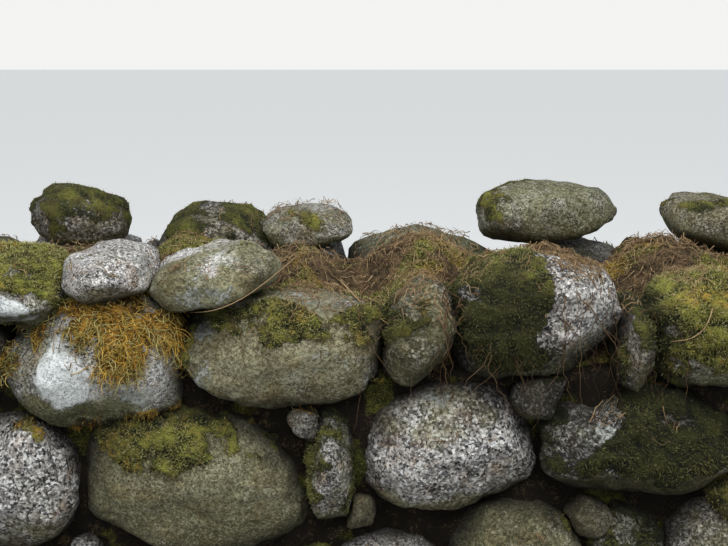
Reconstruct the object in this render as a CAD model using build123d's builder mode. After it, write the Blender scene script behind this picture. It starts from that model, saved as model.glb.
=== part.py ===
"""Dry stone wall of rounded granite field boulders.

Two battered faces of boulders stand back to back and lean towards each other.
Between them is a core of small stones and earth, closed at each end of the wall
by a stack of end stones and topped by a cambered cap of earth sods. No mortar
holds it: every boulder beds flat on those under it and on the core behind it,
and small pinning stones are wedged in between their rounded corners.

The wall runs along X, its front face looks towards -Y and Z is up. The origin is
at ground level in the middle of the base. Sizes are in millimetres.
"""

import os
from dataclasses import dataclass, field
from math import copysign, cos, inf, pi, radians, sin, sqrt

from build123d import *

# The whole wall
LENGTH = 2400.0
BASE_WIDTH = 760.0
TOP_WIDTH = 600.0
TOP_WIDTH_LEVEL = 950.0

# The core between the two faces
CORE_BASE_WIDTH = 300.0
CORE_TOP_WIDTH = 216.0
CORE_HEIGHT = 840.0
END_STONE_DEPTH = 170.0

# How boulders meet
BED_SWELL = 0.08  # share of its height by which a boulder is dressed off at each bed
END_SWELL = 0.09  # share of its length dressed off at each neighbour in its course
BACK_SWELL = 26.0  # dressed off where it backs on the core
GROUND_SWELL = 26.0  # dressed off the underside of a footing stone
FLUSH_SWELL = 12.0  # dressed off where a stone lies flush with the wall's outline
FACE_BULGE = 12.0  # how far a boulder's face stands proud of the battered line
OPEN_JOINT = 5.0  # width of the open joint between stones of one course
CLOSE_BY = 1.1  # boulders further apart than their half sizes together, times this, never meet

# The shape of a boulder
BLOCKINESS = 2.7  # 2 is an oval, and higher powers come nearer to a block
FACET_CORNERS = 18  # corners spread over a whole boulder before it is dressed
HEWN_SHARE = 0.10  # how far in the deepest corners lie, as a share of the boulder's half size
GOLDEN_ANGLE = pi * (3 - sqrt(5))

# Pinning stones, wedged in the open places between the rounded corners of the boulders
PINNED_COURSES = ("course_2", "course_3", "course_4")
PIN_LENGTH = 76.0
PIN_DEPTH = 80.0
PIN_HEIGHT = 60.0
PIN_SPREAD = 0.2  # share by which one is larger or smaller than these sizes
PIN_SETBACK = 24.0  # how far its face lies behind the battered line
PIN_DROP = 10.0  # from the bed or the tops of its course to its middle
PIN_CORNERS = 11  # corners spread over a whole pinning stone before it is dressed
PIN_LEAST_GAP = 2.0  # from its middle to the nearest boulder
PIN_FILL = 1.5  # least half size of a pinning stone, as a multiple of its middle's distance from a boulder
PIN_TURN = 3.0  # how many times more it is tilted than the boulder beside it

# Each course of the front face from left to right. A stone is its length along
# the wall, the level of its bed, the level of its top and its tilt in degrees.
# A stone whose bed and top are level is a place left open.
FRONT_COURSES = {
    "footing": [
        (300, 0, 205, 0),
        (260, 0, 190, 0),
        (320, 0, 210, 0),
        (280, 0, 195, 0),
        (300, 0, 215, 0),
        (340, 0, 235, 0),
        (270, 0, 225, 0),
        (330, 0, 240, 0),
    ],
    "course_2": [
        (230, 200, 385, 4),
        (280, 195, 370, -3),
        (210, 205, 395, 6),
        (250, 200, 375, -5),
        (300, 205, 390, 3),
        (220, 215, 420, -6),
        (260, 230, 455, 4),
        (240, 228, 440, -4),
        (210, 232, 460, 5),
        (200, 238, 450, -3),
    ],
    "course_3": [
        (220, 385, 560, -4),
        (185, 372, 545, 5),
        (245, 388, 540, -3),
        (205, 380, 528, 4),
        (270, 385, 525, -2),
        (212, 400, 560, 6),
        (217, 450, 622, 8),
        (120, 448, 605, -6),
        (165, 452, 620, 5),
        (200, 455, 610, -5),
        (170, 450, 620, 4),
        (191, 448, 605, -3),
    ],
    "course_4": [
        (180, 560, 750, 5),
        (170, 548, 735, -6),
        (190, 542, 760, 4),
        (219, 530, 757, -12),
        (350, 524, 762, 9),
        (75, 590, 760, 0),
        (284, 598, 808, -11),
        (305, 622, 802, 3),
        (215, 618, 800, -4),
        (192, 612, 790, 6),
        (220, 608, 785, -3),
    ],
    "course_5": [
        (230, 745, 915, 4),
        (200, 740, 900, -5),
        (226, 760, 925, 3),
        (268, 735, 938, -8),
        (308, 768, 945, -3),
        (100, 804, 960, 20),
        (256, 812, 998, -7),
        (50, 800, 925, 0),
        (216, 804, 970, 4),
        (190, 800, 935, -6),
        (170, 792, 925, 5),
        (186, 788, 915, -3),
    ],
    "top_stones": [
        (170, 912, 1010, -4),
        (130, 902, 990, 5),
        (150, 896, 1008, -3),
        (144, 916, 1008, 6),
        (144, 905, 1008, 8),
        (140, 936, 1016, -3),
        (181, 930, 1012, -9),
        (791, 0, 0, 0),
        (160, 932, 1020, 5),
        (150, 925, 1005, -6),
        (110, 910, 995, 4),
        (130, 912, 1005, -3),
    ],
}

# The back face repeats the front face turned half round, except for its top stones.
BACK_TOP_STONES = [
    (175, 912, 1005, 5),
    (140, 905, 992, -6),
    (150, 915, 1005, 4),
    (113, 0, 0, 0),
    (164, 918, 1030, 12),
    (258, 0, 0, 0),
    (170, 922, 1000, -5),
    (252, 0, 0, 0),
    (242, 935, 1045, -6),
    (116, 0, 0, 0),
    (190, 925, 1020, 6),
    (130, 904, 1000, -4),
    (150, 907, 990, 5),
    (150, 908, 1000, -4),
]

# Sods of earth on top of the core from left to right: length, level of the crown, tilt
SODS = [
    (215, 968, 3),
    (190, 982, -4),
    (230, 974, 2),
    (200, 990, -3),
    (180, 972, 5),
    (225, 986, -2),
    (210, 970, 4),
    (205, 988, -3),
    (190, 976, 3),
    (215, 966, -4),
]
SOD_SPREAD = 22.0  # dressed off each sod where it meets the boulders beside it
SOD_SWELL = 26.0  # dressed off each sod where it beds on the core
SOD_CORNERS = 14  # corners spread over a whole sod before it is dressed

# Courses whose stones, and all that they bed on, are the same on both faces
SAME_ON_BOTH_FACES = ("footing", "course_2", "course_3", "course_4")

# Levels where one end stone stops and the next one begins, at each end of the wall.
LEFT_END_BEDS = [0, 198, 380, 555, 748, 890]
RIGHT_END_BEDS = [0, 236, 448, 612, 788, 890]
END_TOP_LEVEL = 985.0


@dataclass
class Boulder:
    """A rounded block: its middle, its half sizes, its tilt in the wall's face and its dressed planes."""

    middle: Vector
    half: tuple
    tilt: float
    node: str
    corners: int = FACET_CORNERS
    dressed: list = field(default_factory=list)

    def own_axes(self, v):
        """The vector's parts along the boulder's own length, depth and height."""
        c, s = cos(radians(self.tilt)), sin(radians(self.tilt))
        return (v.X * c - v.Z * s, v.Y, v.X * s + v.Z * c)

    def wall_axes(self, x, y, z):
        """The vector with these parts along the boulder's own length, depth and height."""
        c, s = cos(radians(self.tilt)), sin(radians(self.tilt))
        return Vector(x * c + z * s, y, -x * s + z * c)

    def level(self, v):
        """The boulder's level at its middle plus v: 1 on its skin, less inside and more outside."""
        return sum(abs(p / h) ** BLOCKINESS for p, h in zip(self.own_axes(v), self.half)) ** (1 / BLOCKINESS)

    def slope(self, v):
        """The unit normal of the surface of equal level that v points to."""
        parts = [copysign(abs(p / h) ** (BLOCKINESS - 1), p) / h for p, h in zip(self.own_axes(v), self.half)]
        return self.wall_axes(*parts).normalized()

    def skin_corners(self):
        """Corners spread evenly over the rounded block by the golden angle, some hewn further in than others."""
        turn = self.middle.X + self.middle.Z
        corners = []
        for number in range(self.corners):
            height = 1 - (2 * number + 1) / self.corners
            around = GOLDEN_ANGLE * number + turn
            ring = sqrt(1 - height**2)
            way = [p * h for p, h in zip((ring * cos(around), height, ring * sin(around)), self.half)]
            v = self.wall_axes(*way)
            hewn = HEWN_SHARE * (0.5 + 0.5 * sin(turn * (number + 1)))
            corners.append(self.middle + v * ((1 - hewn) / self.level(v)))
        return corners

    def dress(self, point, normal, clearance=0.0):
        """Notes a plane that cuts off what lies beyond point along normal."""
        normal = normal.normalized()
        self.dressed.append((point - normal * clearance, normal))

    def finished(self):
        """The solid, with every plane that reaches it dressed off."""
        corners = self.skin_corners()
        with BuildPart() as stone:
            ConvexPolyhedron(corners)
            for point, normal in self.dressed:
                if any((corner - point).dot(normal) > 0 for corner in corners):
                    split(bisect_by=Plane(origin=point, z_dir=normal), keep=Keep.BOTTOM)
        return stone.part


def half_width(base, top, level):
    """Half the width of a battered section at a level."""
    return (base + (top - base) * level / TOP_WIDTH_LEVEL) / 2


def outward(base, top, side):
    """The outward normal of a battered face, on side -1 for the front or 1 for the back."""
    return Vector(0, side, (base - top) / 2 / TOP_WIDTH_LEVEL).normalized()


def lay_course(stones, node, side, on_ground=False):
    """Boulders of one course of one face, in their places but not yet dressed."""
    spread = LENGTH / sum(stone[0] for stone in stones)
    start = -LENGTH / 2
    laid = []
    for number, (length, bed, top, tilt) in enumerate(stones, start=1):
        end = start + length * spread
        if top > bed:
            grow = END_SWELL * (end - start)
            left = start - (FLUSH_SWELL if number == 1 else grow)
            right = end + (FLUSH_SWELL if number == len(stones) else grow)
            low = bed - (GROUND_SWELL if on_ground else BED_SWELL * (top - bed))
            high = top + BED_SWELL * (top - bed)
            level = (bed + top) / 2
            if on_ground:
                face = BASE_WIDTH / 2 + FLUSH_SWELL
            else:
                face = half_width(BASE_WIDTH, TOP_WIDTH, level) + FACE_BULGE
            back = half_width(CORE_BASE_WIDTH, CORE_TOP_WIDTH, level) - BACK_SWELL
            laid.append(
                Boulder(
                    middle=Vector((left + right) / 2, side * (face + back) / 2, (low + high) / 2),
                    half=((right - left) / 2, (face - back) / 2, (high - low) / 2),
                    tilt=tilt,
                    node=node,
                )
            )
        start = end
    return laid


def turned_round(stones):
    """A course as it reads from the other side of the wall."""
    return [(length, bed, top, -tilt) for length, bed, top, tilt in reversed(stones)]


def lay_face(side):
    """All boulders of the front face (side -1) or the back face (side 1), dressed."""
    name = "front" if side < 0 else "back"
    boulders = []
    for course, stones in FRONT_COURSES.items():
        if side > 0:
            stones = BACK_TOP_STONES if course == "top_stones" else turned_round(stones)
        boulders += lay_course(stones, f"{name}_{course}", side, course == "footing")
    for one in boulders:
        one.dress(Vector(0, side * half_width(CORE_BASE_WIDTH, CORE_TOP_WIDTH, 0), 0),
                  -outward(CORE_BASE_WIDTH, CORE_TOP_WIDTH, side))
        one.dress(Vector(0, side * BASE_WIDTH / 2, 0), Vector(0, side, 0))
    return boulders


def lay_end(side):
    """The stack of end stones at the left (side -1) or right (side 1) end of the wall."""
    name = "left" if side < 0 else "right"
    beds = LEFT_END_BEDS if side < 0 else RIGHT_END_BEDS
    stack = []
    for number, (bed, top) in enumerate(zip(beds, beds[1:] + [END_TOP_LEVEL]), start=1):
        swell = BED_SWELL * (top - bed)
        low = bed - (GROUND_SWELL if bed == 0 else swell)
        high = top + (swell if top != END_TOP_LEVEL else 0)
        outer = LENGTH / 2 + FLUSH_SWELL
        inner = LENGTH / 2 - END_STONE_DEPTH - BACK_SWELL
        half_y = half_width(CORE_BASE_WIDTH, CORE_TOP_WIDTH, (bed + top) / 2) * (1 + END_SWELL)
        stack.append(
            Boulder(
                middle=Vector(side * (outer + inner) / 2, 0, (low + high) / 2),
                half=((outer - inner) / 2, half_y, (high - low) / 2),
                tilt=0,
                node=f"{name}_end_stone_{number}",
            )
        )
    for one in stack:
        for face in (-1, 1):
            one.dress(Vector(0, face * half_width(CORE_BASE_WIDTH, CORE_TOP_WIDTH, 0), 0),
                      outward(CORE_BASE_WIDTH, CORE_TOP_WIDTH, face))
        one.dress(Vector(side * (LENGTH / 2 - END_STONE_DEPTH), 0, 0), Vector(-side, 0, 0))
    return stack


def bed_on_each_other(boulders):
    """Dresses each pair of close boulders off at one plane between them, where their levels are equal."""
    for number, one in enumerate(boulders):
        for other in boulders[number + 1 :]:
            gap = other.middle - one.middle
            if any(abs(p) > (a + b) * CLOSE_BY for p, a, b in zip(gap, one.half, other.half)):
                continue
            rise_one, rise_other = one.level(gap), other.level(gap)
            point = one.middle + gap * (rise_other / (rise_one + rise_other))
            normal = (one.slope(gap) + other.slope(gap)).normalized()
            clearance = OPEN_JOINT / 2 if one.node == other.node else 0.0
            one.dress(point, normal, clearance)
            other.dress(point, -normal, clearance)


def dress_to_outline(boulders):
    """Dresses the boulders off at the ground and flush with the two ends of the wall."""
    for one in boulders:
        one.dress(Vector(0, 0, 0), Vector(0, 0, -1))
        one.dress(Vector(LENGTH / 2, 0, 0), Vector(1, 0, 0))
        one.dress(Vector(-LENGTH / 2, 0, 0), Vector(-1, 0, 0))


def core_body():
    """The packed core of small stones and earth, up to the underside of the cap."""
    half_base = half_width(CORE_BASE_WIDTH, CORE_TOP_WIDTH, 0)
    half_top = half_width(CORE_BASE_WIDTH, CORE_TOP_WIDTH, CORE_HEIGHT)
    with BuildPart() as core:
        with BuildSketch(Plane.YZ.offset(-(LENGTH / 2 - END_STONE_DEPTH))):
            with BuildLine():
                Polyline((-half_base, 0), (half_base, 0), (half_top, CORE_HEIGHT),
                         (-half_top, CORE_HEIGHT), close=True)
            make_face()
        extrude(amount=LENGTH - 2 * END_STONE_DEPTH)
    core.part.label = "core"
    return core.part


def lay_sods():
    """The sods of earth that close the top of the core, between the backs of the two faces."""
    spread = (LENGTH - 2 * END_STONE_DEPTH) / sum(sod[0] for sod in SODS)
    start = -(LENGTH / 2 - END_STONE_DEPTH)
    sods = []
    for length, crown, tilt in SODS:
        end = start + length * spread
        grow = END_SWELL * (end - start)
        low = CORE_HEIGHT - SOD_SWELL
        side = half_width(CORE_BASE_WIDTH, CORE_TOP_WIDTH, CORE_HEIGHT)
        sods.append(
            Boulder(
                middle=Vector((start + end) / 2, 0, (low + crown) / 2),
                half=((end - start) / 2 + grow, side + SOD_SPREAD, (crown - low) / 2),
                tilt=tilt,
                node="earth_cap",
                corners=SOD_CORNERS,
            )
        )
        start = end
    for one in sods:
        one.dress(Vector(0, 0, CORE_HEIGHT), Vector(0, 0, -1))
        for side in (-1, 1):
            one.dress(Vector(0, side * half_width(CORE_BASE_WIDTH, CORE_TOP_WIDTH, 0), 0),
                      outward(CORE_BASE_WIDTH, CORE_TOP_WIDTH, side))
            one.dress(Vector(side * (LENGTH / 2 - END_STONE_DEPTH), 0, 0), Vector(side, 0, 0))
    return sods


def lay_pins(side):
    """A pinning stone at each joint of the pinned courses, in turn under the tops and over the beds."""
    pins = []
    for course in PINNED_COURSES:
        stones = FRONT_COURSES[course] if side < 0 else turned_round(FRONT_COURSES[course])
        spread = LENGTH / sum(stone[0] for stone in stones)
        joint = -LENGTH / 2
        for number, (one, other) in enumerate(zip(stones, stones[1:])):
            joint += one[0] * spread
            if number % 2:
                level = max(one[1], other[1]) + PIN_DROP
            else:
                level = min(one[2], other[2]) - PIN_DROP
            share = (1 + PIN_SPREAD * sin(joint)) / 2
            face = half_width(BASE_WIDTH, TOP_WIDTH, level) - PIN_SETBACK
            pins.append(
                Boulder(
                    middle=Vector(joint, side * (face - PIN_DEPTH / 2), level),
                    half=(PIN_LENGTH * share, PIN_DEPTH * share, PIN_HEIGHT * share),
                    tilt=one[3] * PIN_TURN,
                    node="pinning_stones",
                    corners=PIN_CORNERS,
                )
            )
    return pins


def lies_inside(point, solid):
    """Whether a point lies behind every flat of a convex solid."""
    return all((point - flat.center()).dot(flat.normal_at()) <= 0 for flat in solid.faces())


def wedge(pin, solids, clearance=0.0):
    """Dresses a pinning stone off at the nearest point of each solid by it. Returns its middle's least gap."""
    least = inf
    for solid in solids:
        gap, nearest, _ = solid.distance_to_with_closest_points(pin.middle)
        if gap < 2 * max(pin.half):
            if lies_inside(pin.middle, solid):
                return 0.0
            pin.dress(nearest, nearest - pin.middle, clearance)
            least = min(least, gap - clearance)
    return least


def pinning_stones(side, boulders):
    """The pinning stones of one face, each grown to seat on the boulders round it and clear of other pins."""
    pins = []
    for pin in lay_pins(side):
        gap = wedge(pin, boulders)
        if gap < inf and min(gap, wedge(pin, pins, OPEN_JOINT)) > PIN_LEAST_GAP:
            grow = max(1.0, PIN_FILL * gap / min(pin.half))
            pin.half = tuple(size * grow for size in pin.half)
            pins.append(pin.finished())
    return pins


def write_node(name, solids):
    """Writes one node of one or more solids that don't touch each other."""
    shape = solids[0] if len(solids) == 1 else Compound(children=solids)
    shape.label = name
    export_step(shape, f"parts/{name}.step")


def main():
    """Lays, dresses and writes the whole wall."""
    os.makedirs("parts", exist_ok=True)
    nodes = {}
    for group in [lay_face(-1), lay_face(1), lay_end(-1), lay_end(1), lay_sods()]:
        bed_on_each_other(group)
        dress_to_outline(group)
        for boulder in group:
            front_twin = boulder.node.replace("back_", "front_")
            if boulder.node.startswith("back_") and front_twin.endswith(SAME_ON_BOTH_FACES):
                nodes[boulder.node] = [solid.rotate(Axis.Z, 180) for solid in nodes[front_twin]]
            else:
                nodes.setdefault(boulder.node, []).append(boulder.finished())
    for side, name in ((-1, "front"), (1, "back")):
        boulders = [solid for node, solids in nodes.items() if node.startswith(name) for solid in solids]
        nodes[f"{name}_pinning_stones"] = pinning_stones(side, boulders)
    nodes["core"] = [core_body()]
    for name, solids in nodes.items():
        write_node(name, solids)
    print(len(nodes), "nodes,", sum(len(solids) for solids in nodes.values()), "solids")


main()
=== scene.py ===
"""Dry stone wall: weathered granite boulders, the earth and moss that bind them, and the stage.

Every boulder is a rounded skin worked out from the solid that it replaces. Growth and
weather are laid on it as relief and as values at its vertices, which the materials read.
All lengths are in metres.
"""

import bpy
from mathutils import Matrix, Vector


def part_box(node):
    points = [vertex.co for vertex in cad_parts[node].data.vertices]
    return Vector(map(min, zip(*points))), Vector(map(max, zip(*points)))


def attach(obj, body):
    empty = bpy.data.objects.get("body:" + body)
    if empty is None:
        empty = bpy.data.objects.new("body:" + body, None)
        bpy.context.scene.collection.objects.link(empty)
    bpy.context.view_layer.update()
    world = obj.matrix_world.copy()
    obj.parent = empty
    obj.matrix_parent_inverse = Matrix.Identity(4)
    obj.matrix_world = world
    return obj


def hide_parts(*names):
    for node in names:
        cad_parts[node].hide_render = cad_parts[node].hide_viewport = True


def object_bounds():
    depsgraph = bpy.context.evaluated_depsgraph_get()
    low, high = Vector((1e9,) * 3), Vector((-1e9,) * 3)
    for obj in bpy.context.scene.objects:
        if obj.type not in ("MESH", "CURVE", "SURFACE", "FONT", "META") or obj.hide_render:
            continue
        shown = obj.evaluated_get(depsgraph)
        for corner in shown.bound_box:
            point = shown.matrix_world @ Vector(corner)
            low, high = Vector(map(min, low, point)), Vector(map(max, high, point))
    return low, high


bl_info = {
    "name": "Dry stone wall",
    "version": (1, 0, 0),
    "blender": (4, 5, 0),
    "location": "View3D > Sidebar > Wall",
    "description": "Dresses the boulders, earth and moss of a dry stone wall",
    "category": "Object",
}

from math import cos, pi, radians, sin
from types import SimpleNamespace

import bpy
import numpy as np
from bpy.props import FloatProperty, FloatVectorProperty, IntProperty, PointerProperty
from bpy.types import Operator, Panel, PropertyGroup
from mathutils import Vector

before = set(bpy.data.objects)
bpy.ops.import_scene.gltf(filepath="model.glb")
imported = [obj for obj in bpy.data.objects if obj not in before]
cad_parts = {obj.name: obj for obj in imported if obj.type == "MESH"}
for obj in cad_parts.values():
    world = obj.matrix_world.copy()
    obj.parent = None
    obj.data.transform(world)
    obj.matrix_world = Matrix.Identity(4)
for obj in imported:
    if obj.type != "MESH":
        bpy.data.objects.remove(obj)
CAD_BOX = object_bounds()

# The wall, from its solids
HALF_LENGTH = CAD_BOX[1].x
HALF_BASE = CAD_BOX[1].y
CAP_LOW, CAP_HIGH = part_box("earth_cap")
TOP_FACE = max(-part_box("front_course_5")[0].y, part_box("back_course_5")[1].y)
FACE_LEAN = (HALF_BASE - TOP_FACE) / CAP_LOW.z
CORE_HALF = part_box("core")[1].y
PROUD = 0.008  # most that a skin may stand outside the solids' box
COMMON_SIZE = 0.2  # thickness of a common boulder
RINGS = (14, 120)  # fewest and most rings of a boulder's skin
RING_POINTS = (24, 170)  # fewest and most points on such a ring

# How far the earth reaches in the joints and over the top, and the points of its grids
EARTH_X = HALF_LENGTH - 0.070
EARTH_LOW = 0.004
EARTH_HIGH = CAP_LOW.z - 0.010
END_DEPTH = 0.16
END_Y = 0.235
CAP_HALF = 0.236
CAP_X = np.linspace(-EARTH_X, EARTH_X, 330)
CAP_Y = np.linspace(-CAP_HALF, CAP_HALF, 76)
FACE_POINTS = (156, 56)
END_POINTS = (46, 68)

# Where the cap falls off: from its middle line outwards, and along the wall towards its ends
SIDE_SHOULDER = (0.168, CAP_HALF)
END_SHOULDER = (1.04, 1.13)

# Where the straight lines start that find the stones, and the ways that they go
OVERHEAD = 1.5
IN_FRONT = -0.6
DOWN = np.array([0, 0, -1.0])
INWARD = np.array([0, 1.0, 0])

# Stretches of the front face, as x from left to right and lowest z: the one that is seen close, and
# the one with hanging strands
CLOSE = ((-0.62, 0.68), 0.45)
STRANDED = ((-0.57, -0.24), 0.79)

# Where litter and roots lie thickest, as middle and spread along the wall, and how far litter reaches
HEAP = (0.25, 0.22)
FRINGE = (0.22, 0.13)
LITTER_X = 1.185
LITTER_Y = 0.315

# What each field or strewing draws its random numbers from
SEEDS = {"noise": 4525, "strands": 311, "litter": 905, "roots": 118, "shoots": 77}

# Growth and weather of a boulder, each from 0 to 1: moss cover, moss colour from green to
# orange, pale lichen, tone of the stone, olive film and coarseness of the grain. The last
# number is how many times sharper its edges are than a common boulder's.
FINISHES = {
    "pale": (0.10, 0.3, 0.50, 0.63, 0.22, 0.55, 1.0),
    "grey_top": (0.20, 0.3, 0.40, 0.52, 0.88, 0.6, 1.2),
    "olive_moss": (0.85, 0.30, 0.15, 0.62, 0.60, 0.5, 1.2),
    "orange_moss": (0.42, 0.85, 0.30, 0.56, 0.50, 0.5, 1.0),
    "grey_green": (0.25, 0.3, 0.35, 0.54, 0.65, 0.7, 1.4),
    "olive_brown": (0.30, 0.4, 0.20, 0.48, 0.85, 0.6, 1.6),
    "speckled": (0.12, 0.5, 0.34, 0.56, 0.22, 1.0, 1.2),
    "dark_moss": (0.66, 0.1, 0.30, 0.28, 0.55, 0.8, 1.5),
    "angular": (0.25, 0.2, 0.25, 0.42, 0.30, 0.9, 2.6),
}
NAMED_FINISHES = {
    "front_top_stones": "grey_green speckled olive_brown pale olive_moss pale grey_top"
    " dark_moss grey_top speckled olive_moss",
    "front_course_5": "speckled olive_moss grey_green orange_moss grey_green speckled angular"
    " dark_moss olive_moss pale grey_green olive_brown",
    "front_course_4": "grey_green pale olive_brown speckled olive_brown dark_moss speckled dark_moss"
    " grey_top speckled olive_moss",
    "front_course_3": "olive_brown speckled grey_top dark_moss grey_green pale grey_top dark_moss"
    " grey_green olive_moss speckled grey_top",
    "back_top_stones": "pale grey_top speckled dark_moss grey_green olive_brown olive_brown pale"
    " dark_moss grey_top",
}

# Patches on the front face: what changes, middle x and z, half width, half height, strength
FRONT_PATCHES = [
    # The boulder with the white patch and the orange moss
    ("lichen", -0.446, 0.848, 0.044, 0.047, 1.6),
    ("moss", -0.446, 0.848, 0.054, 0.057, -1.4),
    ("moss", -0.380, 0.906, 0.115, 0.045, 0.6),
    ("moss", -0.310, 0.864, 0.050, 0.055, 0.45),
    ("moss", -0.323, 0.921, 0.028, 0.013, -1.3),
    ("moss", -0.291, 0.942, 0.020, 0.020, -1.6),
    ("moss", -0.312, 0.858, 0.017, 0.036, -1.4),
    ("moss", -0.395, 0.892, 0.014, 0.020, -0.8),
    ("tone", -0.312, 0.900, 0.050, 0.070, 0.35),
    ("lichen", -0.335, 0.828, 0.055, 0.042, 0.5),
    ("moss", -0.345, 0.814, 0.060, 0.036, -0.5),
    ("film", -0.345, 0.822, 0.070, 0.050, -0.2),
    ("tone", -0.345, 0.830, 0.070, 0.050, 0.9),
    ("tone", -0.430, 0.782, 0.100, 0.024, -0.35),
    ("film", -0.430, 0.782, 0.100, 0.024, 0.6),
    # The mossy stone above it on the left
    ("lichen", -0.512, 0.940, 0.032, 0.018, 1.8),
    ("moss", -0.512, 0.940, 0.036, 0.022, -1.8),
    # The big grey-green boulder, with a bare rim over a band of moss
    ("moss", -0.110, 0.960, 0.190, 0.022, -1.2),
    ("tone", -0.120, 0.958, 0.160, 0.024, 0.5),
    ("lichen", -0.120, 0.958, 0.160, 0.020, 0.4),
    ("moss", -0.115, 0.918, 0.150, 0.032, 0.42),
    ("film", -0.115, 0.910, 0.150, 0.044, 0.5),
    ("moss", -0.150, 0.850, 0.120, 0.050, -0.3),
    ("lichen", -0.190, 0.860, 0.090, 0.060, 0.15),
    ("tone", -0.160, 0.850, 0.130, 0.060, 0.34),
    ("film", -0.160, 0.850, 0.130, 0.060, 0.30),
    # The grey top stone on it, paler at its upper left
    ("tone", -0.256, 1.012, 0.056, 0.022, 0.36),
    ("film", -0.256, 1.012, 0.056, 0.022, -0.55),
    ("film", -0.205, 0.975, 0.100, 0.026, 0.55),
    # The narrow speckled boulder
    ("tone", 0.085, 0.910, 0.055, 0.090, -0.36),
    ("film", 0.085, 0.910, 0.055, 0.090, 0.5),
    ("moss", 0.060, 0.930, 0.045, 0.050, 0.5),
    # The boulder that is half mossy and half bare
    ("moss", 0.200, 0.905, 0.075, 0.090, 1.0),
    ("tone", 0.200, 0.880, 0.095, 0.095, -0.62),
    ("hue", 0.200, 0.890, 0.095, 0.110, -0.2),
    ("moss", 0.325, 0.930, 0.060, 0.060, -1.0),
    ("tone", 0.318, 0.930, 0.060, 0.050, 0.35),
    ("lichen", 0.255, 0.862, 0.034, 0.020, 0.7),
    # The long coarse boulder under it
    ("moss", 0.130, 0.820, 0.120, 0.030, -0.8),
    ("film", 0.082, 0.775, 0.110, 0.035, 0.45),
    ("tone", 0.110, 0.690, 0.140, 0.090, 0.08),
    # The big boulder of the third row
    ("film", -0.235, 0.680, 0.150, 0.080, 0.35),
    ("tone", -0.235, 0.680, 0.150, 0.080, 0.22),
    ("moss", -0.330, 0.740, 0.120, 0.040, 0.5),
    ("tone", -0.330, 0.745, 0.130, 0.035, -0.2),
    # The dark boulder with pale lichen
    ("lichen", 0.350, 0.780, 0.044, 0.048, 0.35),
    ("moss", 0.350, 0.789, 0.038, 0.036, -0.6),
    ("tone", 0.400, 0.740, 0.140, 0.095, -0.42),
    ("moss", 0.430, 0.740, 0.080, 0.080, 0.3),
    # Two small stones in the joints
    ("tone", 0.435, 0.900, 0.024, 0.090, -0.45),
    ("tone", 0.247, 0.818, 0.045, 0.035, -0.35),
    # The olive boulder on the right
    ("moss", 0.550, 0.880, 0.090, 0.032, 0.75),
    ("hue", 0.550, 0.910, 0.090, 0.060, 0.12),
    # The lowest boulders that are seen
    ("film", 0.100, 0.600, 0.130, 0.040, 0.5),
    ("tone", 0.218, 0.600, 0.090, 0.060, -0.25),
    ("tone", 0.500, 0.600, 0.090, 0.060, -0.25),
]
# Long dead stalks over the front face: x and z of their two ends, and their thickness
LONG_STALKS = [
    ((-0.103, 1.000), (-0.262, 0.926), 0.0017),
    ((-0.037, 0.962), (0.044, 0.905), 0.0015),
    ((0.520, 0.955), (0.438, 0.868), 0.0013),
]
COURSES = ("footing", "course_2", "course_3", "course_4", "course_5", "top_stones", "pinning_stones")
PATCHED = {"moss": 0, "hue": 1, "lichen": 2, "tone": 3, "film": 4}
PIN_DIRT_AND_SHADE = 0.55  # least earth and painted shade on the small stones deep in the joints, which darkens them towards the earth's colour
TOP_DEPTH = 0.02  # depth at which everything near the top is taken to lie
END_STONES = 6  # in the stack at each end

# A boulder's number sets its noise. It counts up along a course from a number of the course's own
COURSE_NUMBERS = 20
BACK_NUMBERS = 7
END_NUMBERS = {-1: 140, 1: 160}

NO_TRIANGLES = np.zeros((0, 3), int)
NO_QUADS = np.zeros((0, 4), int)

# What the steps hand on: the dressed meshes, the solids as planes, and the cap's level
made_parts = []
hulls = []
cap = {}

rng = np.random.default_rng(SEEDS["noise"])
ORDER = rng.permutation(256)
SLOPES = rng.normal(size=(256, 3))
SLOPES /= np.linalg.norm(SLOPES, axis=1, keepdims=True)


def metres(name, description, default):
    """A length setting with its description and default."""
    return FloatProperty(name=name, description=description, default=default, unit="LENGTH")


def whole_number(name, description, default):
    """A setting that counts pieces, with its description and default."""
    return IntProperty(name=name, description=description, default=default, min=0)


def colour(name, description, default):
    """A colour setting with its description and default."""
    return FloatVectorProperty(name=name, description=description, default=default,
                               subtype="COLOR", size=3, min=0.0, max=1.0)


class StoneShape(PropertyGroup):
    """Sizes of the boulders' skins and of what grows on them."""

    rounding: FloatProperty(
        name="Edge sharpness", description="Power that blends a boulder's planes; higher is sharper",
        default=12.0, min=3.0, max=40.0)
    close_step: metres("Close step", "Distance between vertices on boulders that are seen close", 0.0050)
    far_step: metres("Far step", "Distance between vertices on the other boulders", 0.0130)
    lumps: metres("Lumps", "Height of the broad lumps of a boulder", 0.0085)
    roughness: metres("Roughness", "Height of the small unevenness of weathered granite", 0.0028)
    moss_depth: metres("Moss depth", "Thickness of a full cushion of moss", 0.0105)
    blade_length: metres("Moss shoot", "Length of one shoot of moss", 0.0048)
    shoots: whole_number("Shoots", "Number of moss shoots on the whole wall", 46000)
    strands: whole_number("Strands", "Number of hanging strands of feather moss", 1400)
    litter: whole_number("Litter", "Number of dry stalks and rootlets on top of the wall", 5200)
    roots: whole_number("Roots", "Number of thin roots that hang over the front face", 70)
    joint_depth: metres("Joint depth", "How far the earth lies behind the face in a joint", 0.085)


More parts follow.
